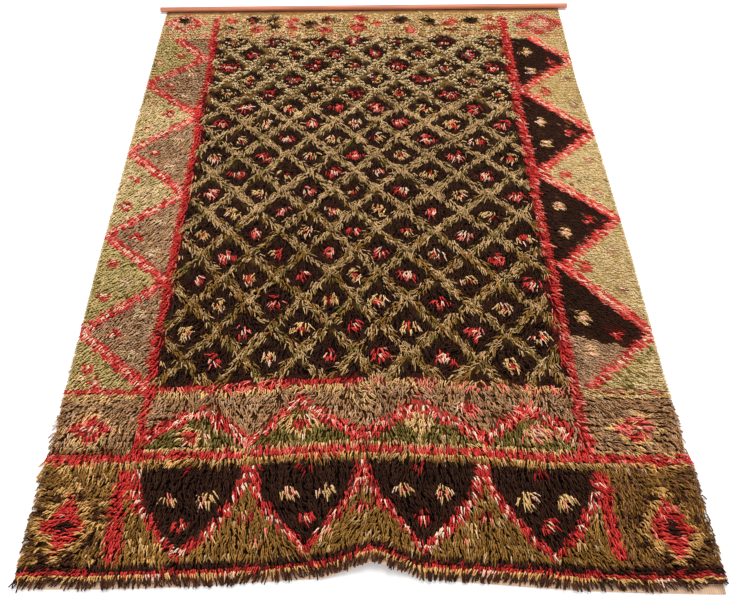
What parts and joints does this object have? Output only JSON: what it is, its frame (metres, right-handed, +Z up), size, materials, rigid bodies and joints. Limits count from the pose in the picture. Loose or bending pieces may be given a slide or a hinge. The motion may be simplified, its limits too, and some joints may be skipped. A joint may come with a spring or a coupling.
{
  "type": "pile rug with hanging rod",
  "caption": "Long-pile rug of two woven panels sewn side by side, knotted in a lattice and zigzag pattern, with plain flat hems and a round wooden rod along its far hem.",
  "frame": {"origin": "on the floor under the middle of the whole rug's box", "axes": "+Z up from the floor, +Y along the rug's length towards the rod, +X across it to the right as seen from the near hem"},
  "size_m": [1.3238, 1.7768, 0.0411],
  "materials": {
    "ground_weave": "matt woven wool",
    "yarn_dark": "matt twisted wool",
    "yarn_olive": "matt twisted wool",
    "yarn_green": "matt twisted wool",
    "yarn_taupe": "matt twisted wool",
    "yarn_camel": "matt twisted wool",
    "yarn_red": "matt twisted wool",
    "yarn_cream": "matt twisted wool",
    "rod_wood": "satin stained wood"
  },
  "bodies": {
    "root": {"panel_left": "ground_weave", "panel_right": "ground_weave", "hanging_rod": "rod_wood"}
  },
  "joints": []
}
